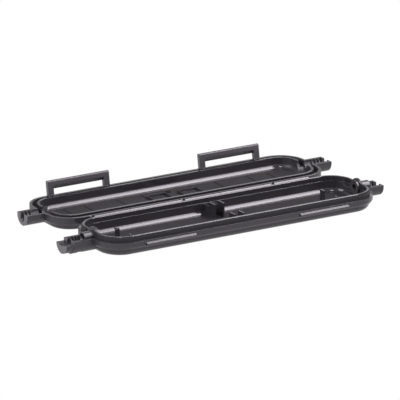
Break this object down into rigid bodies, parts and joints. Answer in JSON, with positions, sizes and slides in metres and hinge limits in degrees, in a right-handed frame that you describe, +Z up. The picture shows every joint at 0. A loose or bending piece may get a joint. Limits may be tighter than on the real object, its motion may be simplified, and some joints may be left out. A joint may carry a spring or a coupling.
{
  "type": "fibre termination box",
  "caption": "Long in-line hinged plastic box with a tongue-and-groove rim, cable ports at both ends and swing bails that latch the cover.",
  "frame": {"origin": "centre of the base shell's flat underside", "axes": "+X along the box towards its plain port end, +Y from the base to the opened cover, +Z up out of the base's mouth"},
  "size_m": [0.3706, 0.1875, 0.0281],
  "materials": {
    "housing": "black satin moulded plastic",
    "seal": "matte black rubber",
    "pin": "drawn wire"
  },
  "bodies": {
    "base": {"base_shell": "housing", "rim_seal_front": "seal", "rim_seal_back": "seal", "hinge_pin": "pin", "port_grommet_left": "seal", "port_grommet_right": "seal"},
    "cover": {"cover_shell": "housing"},
    "latch_left": {"latch_bail_left": "housing"},
    "latch_right": {"latch_bail_right": "housing"}
  },
  "joints": [
    {"name": "cover_hinge", "type": "hinge", "parent": "base", "child": "cover", "pos_m": [0, 0.0484, 0.01465], "axis": [1, 0, 0], "range_deg": [0, 180]},
    {"name": "latch_left_pivot", "type": "hinge", "parent": "cover", "child": "latch_left", "pos_m": [-0.0893, 0.1402, 0.0105], "axis": [1, 0, 0], "range_deg": [-100, 9]},
    {"name": "latch_right_pivot", "type": "hinge", "parent": "cover", "child": "latch_right", "pos_m": [0.0893, 0.1402, 0.0105], "axis": [1, 0, 0], "range_deg": [-100, 9]}
  ]
}
